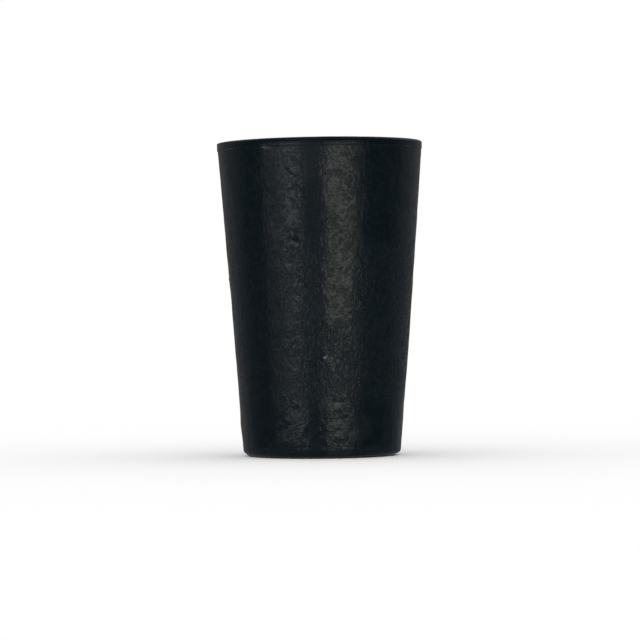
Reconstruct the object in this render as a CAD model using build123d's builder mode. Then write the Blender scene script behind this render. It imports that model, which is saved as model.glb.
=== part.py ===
"""Solid laboratory stopper: a tapered plug moulded in one piece from black rubber.

It stands on its narrow end. The origin is the centre of that end's face, and +Z runs up the axis.
"""

import os
from math import atan2, pi, tan

from build123d import *

# Driving dimensions, in millimetres
length = 25.4  # narrow face to wide face
top_diameter = 16.6  # wide end, where the taper would meet the top face
bottom_diameter = 12.7  # narrow end, where the taper would meet the bottom face
top_edge_radius = 0.4  # rounding of the wide rim
bottom_edge_radius = 0.45  # rounding of the narrow rim

# Parting line of the mould: a fine raised bead round the wall, just under the wide rim
bead_width = 0.24  # along the axis
bead_proud = 0.06  # how far the crest stands out of the taper
bead_land = 0.02  # bare wall between the bead and the rounded rim

# Worked out from the values above
top_radius = top_diameter / 2
bottom_radius = bottom_diameter / 2
half_taper = atan2(top_radius - bottom_radius, length)
rim_setback = top_edge_radius / tan((pi / 2 - half_taper) / 2)  # from the wide corner down the wall
bead_top = length - rim_setback - bead_land
bead_middle = bead_top - bead_width / 2
bead_bottom = bead_top - bead_width


def wall_radius(height):
    """Radius of the plain taper at a height above the narrow face."""
    return bottom_radius + (top_radius - bottom_radius) * height / length


# Stopper: half of its section turned once round the axis, then its two rims rounded
with BuildPart() as stopper:
    with BuildSketch(Plane.XZ) as half_section:
        with BuildLine() as outline:
            narrow_face = Line((0, 0), (bottom_radius, 0))
            seat = Line(narrow_face @ 1, (wall_radius(bead_bottom), bead_bottom))
            bead = ThreePointArc(
                seat @ 1,
                (wall_radius(bead_middle) + bead_proud, bead_middle),
                (wall_radius(bead_top), bead_top),
            )
            rim = Line(bead @ 1, (top_radius, length))
            wide_face = Line(rim @ 1, (0, length))
            Line(wide_face @ 1, narrow_face @ 0)
        make_face()
    revolve(axis=Axis.Z)

    wide_rim = stopper.edges().filter_by(GeomType.CIRCLE).sort_by(Axis.Z)[-1]
    fillet(wide_rim, top_edge_radius)
    narrow_rim = stopper.edges().filter_by(GeomType.CIRCLE).sort_by(Axis.Z)[0]
    fillet(narrow_rim, bottom_edge_radius)

stopper.part.label = "stopper"

os.makedirs("parts", exist_ok=True)
export_step(stopper.part, "parts/stopper.step")
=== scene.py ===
"""Looks of a solid black rubber laboratory stopper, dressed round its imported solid.

A mesh on the solid's own section replaces it, with what moulding and use leave on the real one: a slightly
bowed wall, an uneven rim and foot, pits, dents, scratches and a dull band where the wall has sat in a neck.
Lengths are in millimetres, and heights are above the narrow face. Azimuths are in degrees round the axis,
0 at the front and positive to the right.
"""

from math import ceil, hypot, pi, radians

import bpy
import numpy as np
from mathutils import Matrix, Vector, noise


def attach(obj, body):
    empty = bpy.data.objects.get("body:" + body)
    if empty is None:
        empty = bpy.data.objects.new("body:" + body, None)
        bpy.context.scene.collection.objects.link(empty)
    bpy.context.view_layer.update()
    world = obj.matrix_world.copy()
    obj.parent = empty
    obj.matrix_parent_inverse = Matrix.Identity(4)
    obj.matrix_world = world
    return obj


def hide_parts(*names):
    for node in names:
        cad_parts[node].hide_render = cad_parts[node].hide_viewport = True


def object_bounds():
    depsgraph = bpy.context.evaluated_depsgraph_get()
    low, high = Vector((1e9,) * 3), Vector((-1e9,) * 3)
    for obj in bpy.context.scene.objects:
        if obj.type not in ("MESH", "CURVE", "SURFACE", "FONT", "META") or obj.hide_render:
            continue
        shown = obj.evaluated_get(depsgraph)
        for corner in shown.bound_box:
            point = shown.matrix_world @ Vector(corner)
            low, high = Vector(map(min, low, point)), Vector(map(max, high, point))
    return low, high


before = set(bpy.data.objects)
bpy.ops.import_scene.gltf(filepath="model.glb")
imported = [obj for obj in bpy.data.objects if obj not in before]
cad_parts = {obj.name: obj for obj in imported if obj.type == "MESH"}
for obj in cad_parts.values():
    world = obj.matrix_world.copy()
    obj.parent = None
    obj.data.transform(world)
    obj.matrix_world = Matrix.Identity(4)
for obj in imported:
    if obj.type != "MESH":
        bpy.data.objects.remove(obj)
cad_low, cad_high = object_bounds()
MM = 0.001
LENGTH = cad_high.z / MM

# Mesh of the stopper
SEGMENTS = 360
WALL_STEP = 0.14  # height of a row on the taper
BEAD_RUN, BEAD_STEP = 0.3, 0.04  # runs of the section shorter than this have rows as fine as that
FACE_RINGS = 14  # rings of faces on each flat end
SAME_RING = 0.004  # rings of the solid nearer than this are one
TAPER_SHARES = (0.2, 0.8)  # heights on the plain taper, as shares of the length
RIM_REACH = 0.58  # how far the wide rim reaches from its sharp corner, down to the parting line
MARGIN_SHARE = 0.01  # room round each part of the surface laid flat, of the unit square

# Unevenness of the moulded form
BOW = 0.045  # how far the middle of the axis stands out to the right
LEAN = 0.12  # how much lower the wide end's left is than its right
SLANT = 0.008  # how far the wide end stands out to the right
FOOT_LEAN = 0.1  # how much higher the narrow end's right is than its left
SWELL_HEIGHT, SWELL_LENGTH = 0.02, 7.0  # slow waves of the wall
RIPPLES = ((0.02, 1.6), (0.009, 0.7))  # height and length of quicker waves of the wall
RIPPLE_REACH = 2.0  # from the wide rim, over which those come in
PEEL_HEIGHT, PEEL_LENGTH = 0.004, 0.9  # orange peel
FLAT_DROP = 0.016  # how far both flat ends lie in, so that their waves stay inside
BEAD_SHARE, BEAD_LEFT_SHARE, BEAD_WAVE_SHARE = 0.7, 0.16, 0.1  # of the solid's parting line
BEAD_RING, BEAD_WAVE_LENGTH = 8.5, 3.0  # radius and length of the waves of the parting line
LIP, LIP_REACH, LIP_AZIMUTH = 0.012, 0.7, -90  # the wide rim flares on the left
LIP_SHARP_SHARE, FAR_SHARP_SHARE = 0.75, 0.5  # by which its rounding is smaller there, and opposite
FOOT_WEAR, FOOT_WEAR_REACH, FOOT_WEAR_AZIMUTH = 0.09, 0.6, -80  # the narrow rim is rounder on the left

# Dents and bumps: azimuth, height, radius and lift
MARKS = (
    (-20.5, 17.86, 0.70, -0.036),
    (-14.0, 17.74, 0.40, -0.032),
    (-15.4, 16.92, 0.70, 0.026),
    (-19.5, 15.40, 0.45, 0.012),
    (-14.0, 12.85, 0.40, 0.012),
    (-90.0, 14.30, 0.14, 0.050),
    (-90.0, 2.60, 1.30, 0.060),
)
PITS, PIT_SEED = 70, 5
PIT_HEIGHTS, PIT_RADII, PIT_DEPTHS = (1.0, 23.9), (0.12, 0.34), (0.003, 0.016)
HUMP_FALL = 2.5  # how steeply marks and worn places fall away

# A ledge below the dull band, that dies away round the wall: its middle and reach, heights, rise and edge
LEDGE_AZIMUTH, LEDGE_REACH, LEDGE_HEIGHTS = 15.0, 45.0, (0.35, 4.62)
LEDGE_RISE, LEDGE_EDGE = 0.022, 0.24

# Dots and a nick of the skin, some of them pale dots painted as glints and highlights, and wide faint pale
# patches: azimuth, height, radius, lift, and how shiny and how pale
DOTS = (
    (-15.4, 16.90, 0.62, 0.000, 0.8, 0.02),
    # painted highlights: pale points on the blister's lower side
    (-18.5, 17.02, 0.30, 0.008, 0.2, 0.16),
    (-14.9, 17.05, 0.26, 0.008, 0.0, 0.10),
    (-12.4, 16.90, 0.26, 0.008, 0.2, 0.14),
    (-14.2, 16.72, 0.28, 0.008, 0.0, 0.14),
    (-19.5, 15.20, 0.38, 0.000, 1.0, 0.0),
    (-14.0, 12.65, 0.32, 0.000, 1.0, 0.0),
    (1.8, 7.98, 0.42, 0.036, 0.8, 0.0),
    # painted glint: a pale dot in the middle of the bump above
    (2.3, 7.98, 0.18, 0.000, 0.0, 1.0),
    # partly painted highlight: a pale spot on the shiny place near the foot
    (10.4, 4.12, 0.38, 0.000, 0.8, 0.4),
    (69.0, 22.30, 0.24, 0.030, 0.5, 0.0),
    # painted highlight: pale dots along the parting line below the wide rim
    (-32.8, 24.60, 0.15, 0.000, 0.0, 0.40),
    (-31.4, 24.58, 0.19, 0.000, 0.0, 0.52),
    (-29.6, 24.54, 0.17, 0.000, 0.0, 0.46),
    (-28.0, 24.51, 0.14, 0.000, 0.0, 0.34),
    # wide faint pale patches
    (-11.0, 23.90, 2.60, 0.000, 0.0, 0.06),
    (27.0, 2.40, 1.40, 0.000, 0.0, 0.055),
    (12.0, 0.60, 1.30, 0.000, 0.0, 0.07),
)
SHINY_SHARE = 0.8  # by which a shiny dot is smoother
# Scratches: azimuth and height of each end, half width and depth
SCRATCHES = (
    (-19.2, 22.98, -15.8, 22.47, 0.12, 0.022),
    (-15.8, 22.47, -12.8, 22.33, 0.11, 0.016),
    (118.0, 15.20, 126.0, 14.10, 0.13, 0.018),
    (205.0, 8.40, 199.0, 9.60, 0.13, 0.020),
    (262.0, 19.30, 271.0, 18.70, 0.14, 0.018),
)

# Colour of the rubber
RUBBER_DARK, RUBBER_PALE = (0.0022, 0.0066, 0.0094, 1), (0.0036, 0.0084, 0.0114, 1)
BLOOM = (0.0036, 0.0102, 0.0152, 1)  # on the dull band
CLOUD_SIZE, CLOUD_EDGES = 0.8, (0.35, 0.75)
CLOUD_NOISE, BLOOM_NOISE = {"detail": 4.0, "rough": 0.6}, {"detail": 3.0, "rough": 0.6}
PALE_AND_GLINT = (0.072, 0.077, 0.073, 1)  # of the palest dots: painted glints and highlights, and wide faint pale patches

# Dull band where the wall has sat in a neck, between two heights that wander
SEAT_LOW, SEAT_HIGH = 4.55, 17.4
WANDER_SIZE, WANDER_HIGH, WANDER_LOW = 0.45, 2.4, 0.5
HIGH_EDGE, SHARP_EDGE, SOFT_EDGES = 0.7, 0.15, (-1.0, 0.8)
SHARP_AZIMUTH, SHARP_REACH = 14.0, (15, 11)  # where the lower border is sharp
# Azimuth, half width and drop of the tongues of the upper border, rubbed smooth
TONGUES = ((11, 12, 6.8), (140, 16, 5.0), (232, 10, 7.5), (296, 14, 4.0))
TONGUE_EDGE = 2.0
DULL_SIDES, LEFT_DULL_SHARE = (-5.0, 1.0), 0.2  # the band fades towards the left

# Finish of the skin: sizes are bumps in a millimetre
SMOOTH_ROUGHNESS, SPECK_ROUGHNESS, CURL_ROUGHNESS = 0.11, 0.17, 0.29
FOOT_ROUGHNESS, RIM_SMOOTH = 0.02, 0.05
RIM_HEIGHTS, RIM_RADII = (24.7, 24.85), (7.4, 7.9)  # beyond which the wide rim is smoother
SPECK_SIZE, SPECK_EDGES, SPECK_HEIGHT = 3.2, (0.40, 0.60), 0.008
SPECK_NOISE = {"rough": 0.55, "twist": 0.6}
UPRIGHT = (1.0, 1.0, 0.6)  # lumps of the skin are longer upwards
LUMP_SIZE, LUMP_HEIGHT = 3.4, 0.022
CALM_SHARE = 0.7  # by which the specks are weaker on the dull band, foot and rim
CURL_SIZE, CURL_EDGES, CURL_HEIGHT = 3.6, (0.03, 0.10), 0.042
CURL_NOISE = {"detail": 1.0, "twist": 0.8}
FOOT_SIZE, FOOT_HEIGHT = 2.0, 0.036
PATCH_SIZE, PATCH_SHARE = 1.1, 1.8  # of patches of more and less gloss
FINE_SIZE, FINE_HEIGHT = 7.0, 0.003
RUBBER_IOR = 1.5

# What gloss sees round the stopper: azimuth, brightness and tint
PLAIN, WARM, COOL = (1.0, 1.01, 1.0), (1.0, 0.97, 0.89), (1.0, 1.04, 1.16)
# Just below the level of the eye
LEVEL_SURROUND = (
    (-180, 0.135, PLAIN),
    (-140, 0.135, COOL),
    (-116, 0.085, COOL),
    (-105, 0.050, COOL),
    (-95, 0.015, COOL),
    (-75, 0.010, COOL),
    (-66, 0.40, PLAIN),
    (-50, 0.68, PLAIN),
    (-40, 1.22, PLAIN),
    (-26, 1.26, PLAIN),
    (-19.5, 0.22, COOL),
    (2, 0.22, COOL),
    (9, 1.52, WARM),
    (32, 1.52, WARM),
    (44, 0.52, PLAIN),
    (53, 0.12, COOL),
    (60, 0.010, COOL),
    (95, 0.015, COOL),
    (105, 0.050, COOL),
    (116, 0.085, COOL),
    (140, 0.135, COOL),
    (180, 0.135, PLAIN),
)
# Lower, on the table
TABLE_SURROUND = (
    (-180, 0.06, COOL),
    (-170, 0.06, COOL),
    (-158, 0.80, PLAIN),
    (-144, 0.80, PLAIN),
    (-130, 0.05, COOL),
    (-74, 0.03, COOL),
    (-60, 0.30, PLAIN),
    (-40, 0.70, PLAIN),
    (-26, 0.70, PLAIN),
    (-18, 0.07, COOL),
    (0, 0.07, COOL),
    (9, 0.82, WARM),
    (32, 0.82, WARM),
    (48, 0.25, PLAIN),
    (62, 0.03, COOL),
    (118, 0.05, COOL),
    (134, 0.80, PLAIN),
    (150, 0.80, PLAIN),
    (164, 0.06, COOL),
    (180, 0.06, COOL),
)
BAND_ELEVATIONS = (-6.3, -13.1)  # between which the level view fades
BAND_LIFT, BAND_LIFT_AZIMUTHS = 2.0, (-15, -60, -100, -150)  # its lower edge is higher on the left
BETWEEN = (0.075, 0.075, 0.085, 1)  # below the level view and above the table
TABLE_ELEVATIONS = (-17, -25)  # between which the table comes in
FLOOR_ELEVATIONS = (-34, -62)  # between which it fades towards the stopper's own shadow
ROOM_ELEVATIONS = (-6, 1)  # between which the level view gives way to the room above
ROOM_FRONT, ROOM_BACK = (0.03, 0.03, 0.035, 1), (0.135, 0.135, 0.14, 1)
ROOM_DEPTHS = (-0.1, 0.6)  # between which the front of the room turns into its back
ROOM_HIGH, ROOM_HIGH_ELEVATIONS = (0.32, 0.32, 0.33, 1), (6, 24)  # behind, higher up

# Floor
FLOOR_HALF, FLOOR_DROP = 1500.0, 0.01
WHITE = (1, 1, 1, 1)  # of the floor and all round, for the eye
FLOOR_PALE = (0.88, 0.88, 0.88, 1)  # for light that the floor throws back
FOOT_SHADOW = (8.5, 12.5)  # radii between which the shadow round the foot fades
FOOT_SHADE = (0.125, 0.125, 0.133, 1)

# Camera, with lengths in pixels of the square frame where they say so
FRAME_PIXELS = 640
FOCAL_PIXELS = 2900
CAMERA_PLACE = (-0.08, -235.0, 10.95)
CAMERA_ROLL = -0.0095  # radians
CLIP_START = 5.0
SENSOR_WIDTH = 36.0


def section_of(node):
    """Radius and height of a turned solid's own rings of vertices, from the narrow face to the wide one."""
    points = np.array([v.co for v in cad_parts[node].data.vertices]) / MM
    rings = np.column_stack((np.hypot(points[:, 0], points[:, 1]), points[:, 2]))
    rings = rings[np.lexsort((rings[:, 0], rings[:, 1]))]
    kept = [rings[0]]
    for ring in rings[1:]:
        if hypot(*(ring - kept[-1])) > SAME_RING:
            kept.append(ring)
    return np.array(kept)


SECTION = section_of("stopper")


def taper_radius(height):
    """Radius of the plain taper, from two rings well clear of both rims."""
    low, high = (SECTION[np.abs(SECTION[:, 1] - share * LENGTH).argmin()] for share in TAPER_SHARES)
    return low[0] + (high[0] - low[0]) * (height - low[1]) / (high[1] - low[1])


def on_wall(azimuth, height):
    """A point of the plain taper."""
    angle = np.radians(azimuth)
    radius = taper_radius(height)
    return np.array((radius * np.sin(angle), -radius * np.cos(angle), height))


def rows_along(section):
    """The section with its long runs divided, and with rings across both flat ends."""
    shares = np.linspace(0, 1, FACE_RINGS, endpoint=False)[1:]
    rows = [section[0] * (share, 1) for share in shares]
    rows.append(section[0])
    for start, end in zip(section, section[1:]):
        run = hypot(*(end - start))
        steps = ceil(run / (BEAD_STEP if run < BEAD_RUN else WALL_STEP))
        rows += [start + (end - start) * k / steps for k in range(1, steps + 1)]
    rows += [section[-1] * (share, 1) for share in shares[::-1]]
    return np.array(rows)


def normals_along(rows):
    """Outward normals of the section, as radius and height."""
    along = np.gradient(rows, axis=0)
    across = np.column_stack((along[:, 1], -along[:, 0]))
    return across / np.hypot(*across.T)[:, None]


def waves(points, length):
    """Smooth noise between about -1 and 1, with bumps about that long."""
    return np.array([noise.noise(Vector(p) / length) for p in points])


def hump(distance, reach):
    """1 at no distance, falling smoothly to almost nothing at the reach."""
    return np.exp(-HUMP_FALL * (distance / reach) ** 2)


def marks_at(points):
    """How far the dents, bumps and pits lift each point."""
    chance = np.random.default_rng(PIT_SEED)
    marks = list(MARKS)
    for _ in range(PITS):
        place = chance.uniform(0, 360), chance.uniform(*PIT_HEIGHTS)
        marks.append((*place, chance.uniform(*PIT_RADII), -chance.uniform(*PIT_DEPTHS)))
    lift = np.zeros(len(points))
    for azimuth, height, radius, rise in marks:
        lift += rise * hump(np.linalg.norm(points - on_wall(azimuth, height), axis=1), radius)
    return lift


def ledge_at(angle, height):
    """How far the ledge lifts each point."""
    aside = (np.degrees(angle) - LEDGE_AZIMUTH + 180) % 360 - 180
    inside = np.minimum(height - LEDGE_HEIGHTS[0], LEDGE_HEIGHTS[1] - height)
    share = np.clip(inside / LEDGE_EDGE, 0, 1)
    return LEDGE_RISE * hump(aside, LEDGE_REACH) * share**2 * (3 - 2 * share)


def place_points(rows):
    """Points of the uneven stopper, row by row from the narrow face up, and round from the back."""
    angle = np.tile(pi + np.arange(SEGMENTS) * 2 * pi / SEGMENTS, len(rows))
    radius, height = np.repeat(rows, SEGMENTS, axis=0).T
    side, front = np.sin(angle), -np.cos(angle)
    corner, foot_corner = taper_radius(LENGTH), taper_radius(0)

    # Parting line, fainter than the solid's and uneven
    rim = np.hypot(radius - corner, height - LENGTH)
    proud = np.clip(radius - taper_radius(height), 0, None)
    above_bead = (height > height[proud.argmax()]) & (rim < RIM_REACH)
    ring = np.column_stack((side, front, np.zeros(len(side)))) * BEAD_RING
    bead = BEAD_SHARE - BEAD_LEFT_SHARE * side + BEAD_WAVE_SHARE * waves(ring, BEAD_WAVE_LENGTH)
    radius = radius - proud + np.where(above_bead, proud.max(), proud) * bead

    # Wide rim, sharper on both sides, with a lip on one
    towards_lip = np.cos(angle - radians(LIP_AZIMUTH))
    lip_side, far_side = np.clip(towards_lip, 0, 1) ** 2, np.clip(-towards_lip, 0, 1) ** 2
    sharp = LIP_SHARP_SHARE * lip_side + FAR_SHARP_SHARE * far_side
    shrink = np.where(rim < RIM_REACH, 1 - sharp, 1)
    radius = corner + (radius - corner) * shrink
    height = LENGTH + (height - LENGTH) * shrink
    radius += LIP * lip_side * np.clip(1 - rim * shrink / LIP_REACH, 0, 1) ** 2
    points = np.column_stack((radius * side, radius * front, height))

    # Waves, marks and wear, along the normals
    out_r, out_z = np.repeat(normals_along(rows), SEGMENTS, axis=0).T
    outward = np.column_stack((out_r * side, out_r * front, out_z))
    lift = SWELL_HEIGHT * waves(points, SWELL_LENGTH) + PEEL_HEIGHT * waves(points, PEEL_LENGTH)
    for rise, length in RIPPLES:
        lift += rise * waves(points, length) * out_r**2 * np.clip(rim / RIPPLE_REACH, 0, 1)
    lift += marks_at(points) + ledge_at(angle, height) - FLAT_DROP * out_z**2
    foot = np.hypot(radius - foot_corner, height)
    worn_side = np.clip(np.cos(angle - radians(FOOT_WEAR_AZIMUTH)), 0, 1)
    lift -= FOOT_WEAR * hump(foot, FOOT_WEAR_REACH) * worn_side
    points += outward * lift[:, None]

    # Bow and lean of the whole
    share = height / LENGTH
    points[:, 0] += BOW * 4 * share * (1 - share) + SLANT * share
    points[:, 2] -= LEAN * share**3 * (1 - points[:, 0] / corner) / 2
    points[:, 2] += FOOT_LEAN * (1 - share) ** 3 * (1 + points[:, 0] / foot_corner) / 2
    points[:, 2] = np.clip(points[:, 2], 0, LENGTH)
    return points


class FlatMap:
    """The surface laid flat on a unit square: one strip of wall below the discs of the two flat ends."""

    def __init__(self, rows):
        widest = rows[:, 0].max()
        scale = (1 - 2 * MARGIN_SHARE) / (2 * pi * widest)
        run = np.concatenate(([0], np.cumsum(np.hypot(*np.diff(rows, axis=0).T))))
        self.wall_start, self.wall_end = FACE_RINGS - 1, len(rows) - FACE_RINGS
        self.along = (run - run[self.wall_start]) * scale
        self.radii = rows[:, 0] * scale
        reach = widest * scale
        discs_at = self.along[self.wall_end] + 3 * MARGIN_SHARE + reach
        self.low_centre = MARGIN_SHARE + reach, discs_at
        self.high_centre = 3 * MARGIN_SHARE + 3 * reach, discs_at

    def on_strip(self, row, k):
        return MARGIN_SHARE + k / SEGMENTS * (1 - 2 * MARGIN_SHARE), MARGIN_SHARE + self.along[row]

    def on_disc(self, row, k):
        angle = 2 * pi * k / SEGMENTS
        x, y = self.low_centre if row <= self.wall_start else self.high_centre
        return x + self.radii[row] * np.sin(angle), y + self.radii[row] * np.cos(angle)

    def band(self, row, k):
        """Corners of one face between two rows."""
        place = self.on_strip if self.wall_start <= row < self.wall_end else self.on_disc
        return [place(row, k), place(row, k + 1), place(row + 1, k + 1), place(row + 1, k)]


def build_stopper():
    """The stopper's mesh, with its two flat ends closed at a point and its surface laid flat for maps."""
    rows = rows_along(SECTION)
    points = place_points(rows)
    points = np.vstack((points, points[:SEGMENTS].mean(axis=0), points[-SEGMENTS:].mean(axis=0)))
    low_end, high_end, last = len(points) - 2, len(points) - 1, len(rows) - 1
    chart = FlatMap(rows)
    faces, flat = [], []
    for row in range(last):
        for k in range(SEGMENTS):
            a, b = row * SEGMENTS + k, row * SEGMENTS + (k + 1) % SEGMENTS
            faces.append((a, b, b + SEGMENTS, a + SEGMENTS))
            flat += chart.band(row, k)
    for k in range(SEGMENTS):
        turn = (k + 1) % SEGMENTS
        faces.append((low_end, turn, k))
        flat += [chart.low_centre, chart.on_disc(0, k + 1), chart.on_disc(0, k)]
        faces.append((high_end, last * SEGMENTS + k, last * SEGMENTS + turn))
        flat += [chart.high_centre, chart.on_disc(last, k), chart.on_disc(last, k + 1)]

    mesh = bpy.data.meshes.new("stopper_body")
    mesh.from_pydata([tuple(p) for p in points * MM], [], faces)
    mesh.uv_layers.new(name="OFBake").data.foreach_set("uv", np.ravel(flat))
    mesh.update()
    mesh.shade_smooth()
    body = bpy.data.objects.new("stopper_body", mesh)
    bpy.context.collection.objects.link(body)
    return body


class Graph:
    """Writes a shader tree. An input is a number, a colour or the output of another node."""

    def __init__(self, owner):
        owner.use_nodes = True
        self.tree = owner.node_tree
        self.tree.nodes.clear()

    def add(self, kind, inputs, output=0, **settings):
        node = self.tree.nodes.new("ShaderNode" + kind)
        for name, value in settings.items():
            setattr(node, name, value)
        for name, value in inputs.items():
            if isinstance(value, bpy.types.NodeSocket):
                self.tree.links.new(value, node.inputs[name])
            else:
                node.inputs[name].default_value = value
        return node.outputs[output] if node.outputs else node

    def math(self, operation, *values):
        return self.add("Math", dict(enumerate(values)), operation=operation)

    def vector(self, operation, *values, output="Vector"):
        return self.add("VectorMath", dict(enumerate(values)), output, operation=operation)

    def scaled(self, vector, scale):
        return self.add("VectorMath", {0: vector, "Scale": scale}, operation="SCALE")

    def total(self, *values):
        result = values[0]
        for value in values[1:]:
            result = self.math("ADD", result, value)
        return result

    def times(self, *values):
        result = values[0]
        for value in values[1:]:
            result = self.math("MULTIPLY", result, value)
        return result

    def rest(self, value):
        """What is left of 1."""
        return self.math("SUBTRACT", 1, value)

    def step(self, value, low, high):
        """Goes smoothly from 0 at low to 1 at high, whichever is the larger."""
        ends = {"Value": value, "From Min": low, "From Max": high}
        return self.add("MapRange", ends, interpolation_type="SMOOTHSTEP")

    def mix(self, share, first, second):
        return self.add("Mix", {0: share, 6: first, 7: second}, 2, data_type="RGBA")

    def noise(self, where, size, detail=2.0, rough=0.5, twist=0.0):
        inputs = {"Vector": where, "Scale": size, "Detail": detail, "Roughness": rough, "Distortion": twist}
        return self.add("TexNoise", inputs)

    def waves(self, where, size, **settings):
        """Noise about 0."""
        return self.math("SUBTRACT", self.noise(where, size, **settings), 0.5)

    def surround(self, azimuth, stops):
        """The colour at each azimuth, from stops of azimuth, brightness and tint."""
        ramp = self.add("ValToRGB", {"Fac": self.math("ADD", self.math("DIVIDE", azimuth, 360), 0.5)})
        elements = ramp.node.color_ramp.elements
        elements.remove(elements[1])
        for number, (place, brightness, tint) in enumerate(stops):
            at = place / 360 + 0.5
            element = elements.new(at) if number else elements[0]
            element.position = at
            element.color = (*(brightness * share for share in tint), 1)
        return ramp

    def azimuth(self, split):
        """Degrees round the axis, from a separated vector."""
        back = self.math("MULTIPLY", split.node.outputs["Y"], -1)
        return self.math("DEGREES", self.math("ARCTAN2", split.node.outputs["X"], back))


def worn_zones(graph, here, split):
    """How far each point is in the dull band where the stopper has sat in a neck, and below that band."""
    height, azimuth = split.node.outputs["Z"], graph.azimuth(split)
    wander = graph.waves(here, WANDER_SIZE)
    upper = graph.total(height, graph.times(wander, WANDER_HIGH))
    for centre, half_width, drop in TONGUES:
        turned = graph.math("WRAP", graph.math("SUBTRACT", azimuth, centre), 180, -180)
        ends = half_width + TONGUE_EDGE, half_width - TONGUE_EDGE
        near = graph.step(graph.math("ABSOLUTE", turned), *ends)
        upper = graph.total(upper, graph.times(near, drop))
    below = graph.step(upper, SEAT_HIGH + HIGH_EDGE, SEAT_HIGH - HIGH_EDGE)

    lower = graph.total(height, graph.times(wander, WANDER_LOW), -SEAT_LOW)
    soft = graph.step(lower, *SOFT_EDGES)
    sharp = graph.step(lower, -SHARP_EDGE, SHARP_EDGE)
    aside = graph.math("ABSOLUTE", graph.math("SUBTRACT", azimuth, SHARP_AZIMUTH))
    change = graph.times(graph.step(aside, *SHARP_REACH), graph.math("SUBTRACT", sharp, soft))
    above = graph.total(soft, change)

    fading = graph.step(split.node.outputs["X"], *DULL_SIDES)
    worn = graph.total(LEFT_DULL_SHARE, graph.times(fading, 1 - LEFT_DULL_SHARE))
    return graph.times(below, above, worn), graph.rest(above)


def small_marks(graph, here):
    """Relief of the dots and scratches, and how far each point is in a shiny dot and in a pale one, the
    pale ones mostly painted glints and highlights.
    """
    relief, shine, pale_and_glint = 0.0, 0.0, 0.0
    for azimuth, height, radius, lift, gloss, pale in DOTS:
        away = graph.vector("DISTANCE", here, tuple(on_wall(azimuth, height)), output="Value")
        relief = graph.total(relief, graph.times(graph.step(away, radius, 0), lift))
        inside = graph.step(away, radius, radius / 2)
        shine = graph.total(shine, graph.times(inside, gloss))
        pale_and_glint = graph.total(pale_and_glint, graph.times(inside, pale))
    for azimuth, height, end_azimuth, end_height, half_width, depth in SCRATCHES:
        start, end = on_wall(azimuth, height), on_wall(end_azimuth, end_height)
        run = end - start
        offset = graph.vector("SUBTRACT", here, tuple(start))
        share = graph.vector("DOT_PRODUCT", offset, tuple(run / (run @ run)), output="Value")
        share = graph.math("MINIMUM", graph.math("MAXIMUM", share, 0), 1)
        away = graph.vector("DISTANCE", offset, graph.scaled(tuple(run), share), output="Value")
        relief = graph.total(relief, graph.times(graph.step(away, half_width, 0), -depth))
    return relief, shine, pale_and_glint


def rubber_material():
    """Satin black rubber: specks of gloss in a leathery skin, with fine curls where it is dull."""
    material = bpy.data.materials.new("black_rubber")
    graph = Graph(material)
    here = graph.scaled(graph.add("TexCoord", {}, "Object"), 1 / MM)
    split = graph.add("SeparateXYZ", {0: here})
    dull, foot = worn_zones(graph, here, split)
    across = graph.vector("LENGTH", graph.vector("MULTIPLY", here, (1, 1, 0)), output="Value")
    rim = graph.times(graph.step(split.node.outputs["Z"], *RIM_HEIGHTS), graph.step(across, *RIM_RADII))
    marks, shine, pale_and_glint = small_marks(graph, here)

    skin = graph.noise(here, SPECK_SIZE, **SPECK_NOISE)
    calm = graph.rest(graph.times(graph.total(dull, foot, rim), CALM_SHARE))
    speck = graph.times(graph.step(skin, *SPECK_EDGES), calm)
    tall = graph.vector("MULTIPLY", here, UPRIGHT)
    curl = graph.waves(tall, CURL_SIZE, **CURL_NOISE)
    matt = graph.times(graph.step(graph.math("ABSOLUTE", curl), *CURL_EDGES), dull)

    relief = graph.total(
        graph.times(skin, -SPECK_HEIGHT),
        graph.times(graph.waves(tall, LUMP_SIZE), LUMP_HEIGHT),
        graph.times(curl, dull, CURL_HEIGHT),
        graph.times(graph.waves(tall, FOOT_SIZE), foot, FOOT_HEIGHT),
        graph.times(graph.waves(here, FINE_SIZE), FINE_HEIGHT),
    )
    relief = graph.total(graph.times(relief, graph.rest(graph.times(shine, SHINY_SHARE))), marks)
    normal = graph.add("Bump", {"Strength": 1.0, "Distance": MM, "Height": relief})
    roughness = graph.total(
        SMOOTH_ROUGHNESS,
        graph.times(speck, SPECK_ROUGHNESS),
        graph.times(matt, CURL_ROUGHNESS),
        graph.times(foot, FOOT_ROUGHNESS),
        graph.times(rim, -RIM_SMOOTH),
    )
    patches = graph.total(1, graph.times(graph.waves(here, PATCH_SIZE), PATCH_SHARE))
    roughness = graph.times(roughness, patches, graph.rest(graph.times(shine, SHINY_SHARE)))

    clouds = graph.step(graph.noise(here, CLOUD_SIZE, **CLOUD_NOISE), *CLOUD_EDGES)
    colour = graph.mix(clouds, RUBBER_DARK, RUBBER_PALE)
    bloom = graph.times(dull, graph.noise(here, CLOUD_SIZE, **BLOOM_NOISE))
    colour = graph.mix(bloom, colour, BLOOM)
    # pale dots: painted glints and highlights, and wide faint pale patches
    colour = graph.mix(pale_and_glint, colour, PALE_AND_GLINT)
    inputs = {"Base Color": colour, "Roughness": roughness, "Normal": normal, "IOR": RUBBER_IOR}
    graph.add("OutputMaterial", {"Surface": graph.add("BsdfPrincipled", inputs)})
    return material


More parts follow.
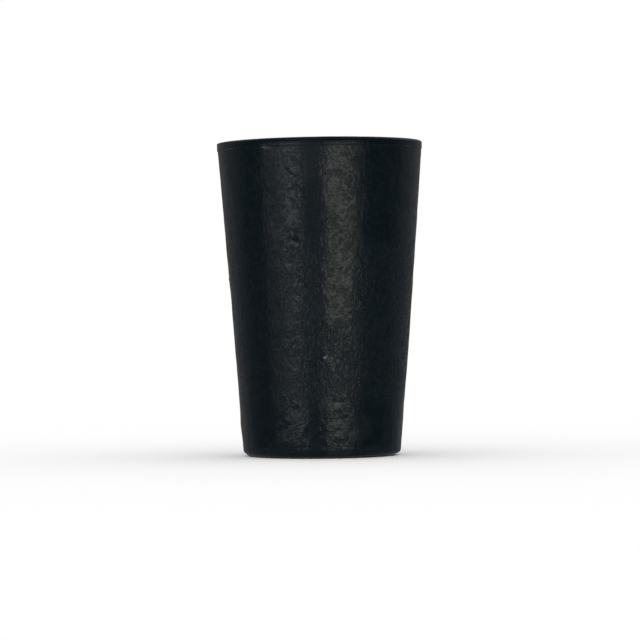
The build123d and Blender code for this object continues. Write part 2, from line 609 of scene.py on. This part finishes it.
def light_studio():
    """White all round for the eye and for plain shading. Gloss sees a lit table below a dim room."""
    world = bpy.data.worlds.new("studio")
    bpy.context.scene.world = world
    world.cycles.sampling_method = "NONE"
    graph = Graph(world)
    split = graph.add("SeparateXYZ", {0: graph.add("TexCoord", {}, "Generated")})
    elevation = graph.math("DEGREES", graph.math("ARCSINE", split.node.outputs["Z"]))
    azimuth = graph.azimuth(split)

    near, far, far_end, near_end = BAND_LIFT_AZIMUTHS
    left = graph.times(graph.step(azimuth, near, far), graph.step(azimuth, near_end, far_end))
    lifted = graph.math("SUBTRACT", elevation, graph.times(left, BAND_LIFT))
    level = graph.surround(azimuth, LEVEL_SURROUND)
    seen = graph.mix(graph.step(lifted, *BAND_ELEVATIONS), level, BETWEEN)
    table = graph.surround(azimuth, TABLE_SURROUND)
    table = graph.mix(graph.step(elevation, *FLOOR_ELEVATIONS), table, FOOT_SHADE)
    seen = graph.mix(graph.step(elevation, *TABLE_ELEVATIONS), seen, table)
    behind = graph.mix(graph.step(elevation, *ROOM_HIGH_ELEVATIONS), ROOM_BACK, ROOM_HIGH)
    room = graph.mix(graph.step(split.node.outputs["Y"], *ROOM_DEPTHS), ROOM_FRONT, behind)
    seen = graph.mix(graph.step(elevation, *ROOM_ELEVATIONS), seen, room)

    gloss = graph.add("LightPath", {}, "Is Glossy Ray")
    light = graph.add("Background", {"Color": graph.mix(gloss, WHITE, seen)})
    graph.add("OutputWorld", {"Surface": light})


def lay_floor():
    """A pale matt floor, white to the eye. Gloss sees only the shadow round the stopper's foot on it."""
    half = FLOOR_HALF * MM
    corners = [(-half, -half, 0), (half, -half, 0), (half, half, 0), (-half, half, 0)]
    mesh = bpy.data.meshes.new("floor")
    mesh.from_pydata(corners, [], [(0, 1, 2, 3)])
    floor = bpy.data.objects.new("floor", mesh)
    bpy.context.collection.objects.link(floor)
    floor.location.z = -FLOOR_DROP * MM

    material = bpy.data.materials.new("pale_floor")
    graph = Graph(material)
    path = graph.add("LightPath", {}).node.outputs
    matt = graph.add("BsdfDiffuse", {"Color": graph.mix(path["Is Camera Ray"], FLOOR_PALE, WHITE)})
    away = graph.vector("LENGTH", graph.add("TexCoord", {}, "Object"), output="Value")
    clear = graph.step(away, FOOT_SHADOW[0] * MM, FOOT_SHADOW[1] * MM)
    shadow = graph.add("Emission", {"Color": FOOT_SHADE})
    shown = graph.add("MixShader", {0: clear, 1: shadow, 2: graph.add("BsdfTransparent", {})})
    surface = graph.add("MixShader", {0: path["Is Glossy Ray"], 1: matt, 2: shown})
    graph.add("OutputMaterial", {"Surface": surface})
    mesh.materials.append(material)


def place_camera():
    """A level camera, far off, that looks at the stopper from the front."""
    lens = bpy.data.cameras.new("camera")
    lens.sensor_width = SENSOR_WIDTH
    lens.lens = FOCAL_PIXELS / FRAME_PIXELS * SENSOR_WIDTH
    lens.clip_start = CLIP_START * MM
    camera = bpy.data.objects.new("camera", lens)
    bpy.context.collection.objects.link(camera)
    turn = Matrix.Rotation(pi / 2, 4, "X") @ Matrix.Rotation(CAMERA_ROLL, 4, "Z")
    camera.matrix_world = Matrix.Translation(Vector(CAMERA_PLACE) * MM) @ turn
    bpy.context.scene.camera = camera


body = build_stopper()
body.data.materials.append(rubber_material())
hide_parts("stopper")
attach(body, "root")

light_studio()
lay_floor()
place_camera()
bpy.context.scene.view_settings.view_transform = "Standard"
